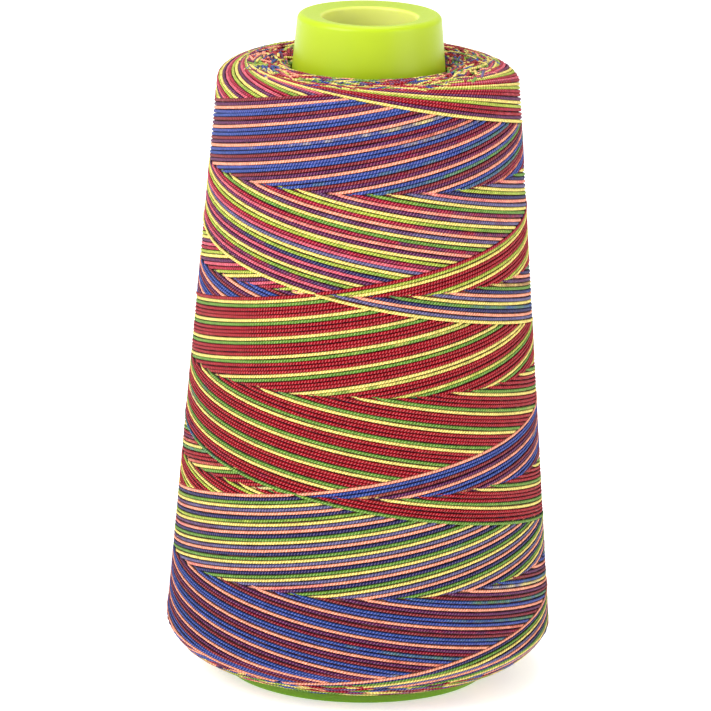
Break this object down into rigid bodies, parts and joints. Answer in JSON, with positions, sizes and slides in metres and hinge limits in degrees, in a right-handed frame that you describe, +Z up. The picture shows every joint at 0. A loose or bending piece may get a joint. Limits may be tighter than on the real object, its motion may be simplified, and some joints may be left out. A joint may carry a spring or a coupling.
{
  "type": "thread cone",
  "caption": "Tapered package of multicolour overlock thread, cross-wound on a hollow moulded cone core with a rounded lip and a flat foot.",
  "frame": {"origin": "centre of the core's foot, on the surface it stands on", "axes": "+Z up along the axis of the cone, from the foot to the lip; -Y towards the viewer"},
  "size_m": [0.0636, 0.0636, 0.11],
  "materials": {
    "core_plastic": "translucent lime polypropylene, satin gloss from the mould",
    "dyed_thread": "spun polyester thread dyed in repeating short lengths of red, maroon, blue, grey-violet, peach, yellow, lime and green"
  },
  "bodies": {
    "root": {"cone_core": "core_plastic", "wound_thread": "dyed_thread"}
  },
  "joints": []
}
